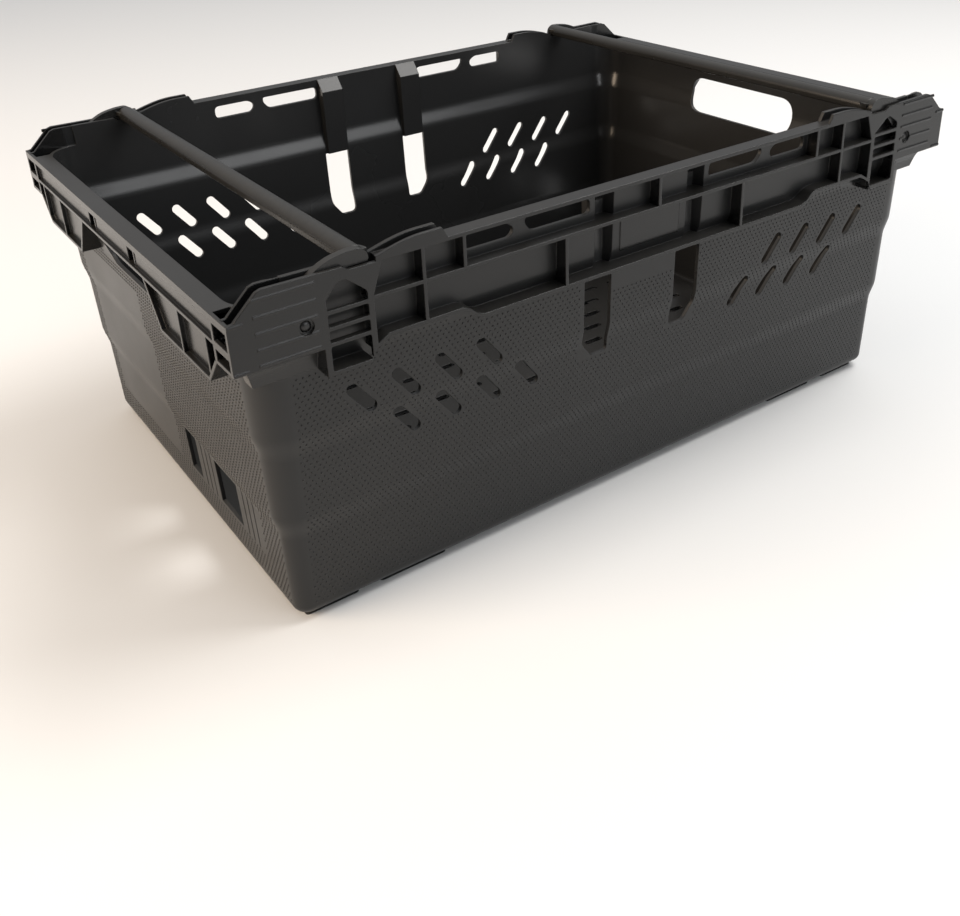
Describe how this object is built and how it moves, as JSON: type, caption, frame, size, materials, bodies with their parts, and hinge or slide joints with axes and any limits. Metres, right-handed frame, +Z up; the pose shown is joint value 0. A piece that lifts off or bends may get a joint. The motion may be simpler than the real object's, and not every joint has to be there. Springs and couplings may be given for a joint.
{
  "type": "bale arm crate",
  "caption": "Open-topped ventilated plastic crate with tapering stepped walls, ribbed rims, end hand holes and swinging crossbars that carry a stacked crate.",
  "frame": {"origin": "centre of the footprint, at the underside of the foot pads", "axes": "+X along the length, +Y along the width, +Z up"},
  "size_m": [0.6, 0.4, 0.2521],
  "materials": {
    "body_plastic": "satin black moulded plastic, fine pip texture outside",
    "arm_plastic": "satin black moulded plastic, smooth",
    "pin_plastic": "satin black plastic pin"
  },
  "bodies": {
    "crate": {"floor_plate": "body_plastic", "feet_left": "body_plastic", "feet_right": "body_plastic", "front_panel_left": "body_plastic", "front_panel_centre": "body_plastic", "front_panel_right": "body_plastic", "front_panel_bottom": "body_plastic", "front_rim_lower": "body_plastic", "front_rim_posts": "body_plastic", "front_rim_crown": "body_plastic", "front_channels": "body_plastic", "front_flange_top": "body_plastic", "front_rib_middle": "body_plastic", "front_rib_lower": "body_plastic", "front_uprights": "body_plastic", "back_panel_left": "body_plastic", "back_panel_centre": "body_plastic", "back_panel_right": "body_plastic", "back_panel_bottom": "body_plastic", "back_rim_lower": "body_plastic", "back_rim_posts": "body_plastic", "back_rim_crown": "body_plastic", "back_channels": "body_plastic", "back_flange_top": "body_plastic", "back_rib_middle": "body_plastic", "back_rib_lower": "body_plastic", "back_uprights": "body_plastic", "left_end_wall": "body_plastic", "left_end_base": "body_plastic", "left_end_rim": "body_plastic", "left_end_ledge": "body_plastic", "left_skirt_front": "body_plastic", "left_skirt_back": "body_plastic", "right_end_wall": "body_plastic", "right_end_base": "body_plastic", "right_end_rim": "body_plastic", "right_end_ledge": "body_plastic", "right_skirt_front": "body_plastic", "right_skirt_back": "body_plastic", "corner_front_left": "body_plastic", "corner_front_right": "body_plastic", "corner_back_left": "body_plastic", "corner_back_right": "body_plastic", "pivot_plate_front_left": "body_plastic", "pivot_plate_front_right": "body_plastic", "pivot_plate_back_left": "body_plastic", "pivot_plate_back_right": "body_plastic", "corner_skirt_front_left": "body_plastic", "corner_skirt_front_right": "body_plastic", "corner_skirt_back_left": "body_plastic", "corner_skirt_back_right": "body_plastic"},
    "arm_left": {"bar_left": "arm_plastic", "lever_left_front": "arm_plastic", "lever_left_back": "arm_plastic", "pivot_pins_left": "pin_plastic"},
    "arm_right": {"bar_right": "arm_plastic", "lever_right_front": "arm_plastic", "lever_right_back": "arm_plastic", "pivot_pins_right": "pin_plastic"}
  },
  "joints": [
    {"name": "arm_left_swing", "type": "hinge", "parent": "crate", "child": "arm_left", "pos_m": [-0.2557, 0, 0.2168], "axis": [0, -1, 0], "range_deg": [0, 101]},
    {"name": "arm_right_swing", "type": "hinge", "parent": "crate", "child": "arm_right", "pos_m": [0.2557, 0, 0.2168], "axis": [0, 1, 0], "range_deg": [0, 101]}
  ]
}
